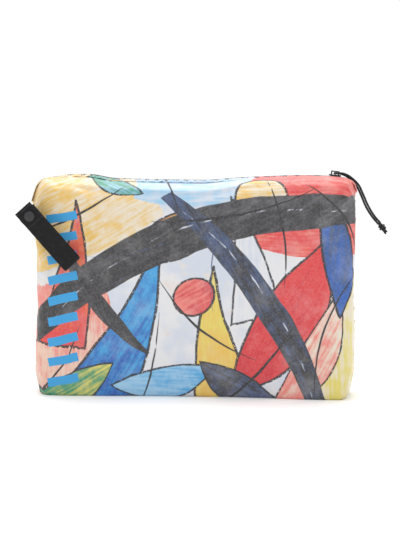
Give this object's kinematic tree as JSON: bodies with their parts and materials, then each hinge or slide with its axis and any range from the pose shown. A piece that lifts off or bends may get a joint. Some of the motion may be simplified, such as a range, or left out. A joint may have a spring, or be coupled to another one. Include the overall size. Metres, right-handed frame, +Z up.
{
  "type": "cloth diaper wet bag",
  "caption": "Zipped pouch of printed coated cloth with boxed corners, standing on a flat base, with a snap strap at its side seam and a knotted cord on the zipper's slider.",
  "frame": {"origin": "middle of the footprint at the base, below the bag and its strap, without the pull cord", "axes": "+Z up from the surface it stands on, +X along the zipper to the slider's end, -Y towards the front with the strap"},
  "size_m": [0.3794, 0.085, 0.2328],
  "materials": {
    "printed_cloth": "coated plain-woven cloth with a bright abstract print, satin sheen",
    "zipper_tape": "black herringbone tape",
    "zipper_coil": "black nylon coil",
    "slider_metal": "black enamel",
    "webbing": "black woven webbing",
    "snap": "black, satin",
    "cord": "black braided cord"
  },
  "bodies": {
    "root": {"front_panel": "printed_cloth", "back_panel": "printed_cloth", "zipper_tape_front": "zipper_tape", "zipper_tape_back": "zipper_tape", "zipper_coil": "zipper_coil", "zipper_slider": "slider_metal", "strap": "webbing", "snap_cap": "snap", "snap_stud": "snap", "pull_cord_front": "cord", "pull_cord_back": "cord", "pull_knot": "cord"}
  },
  "joints": []
}
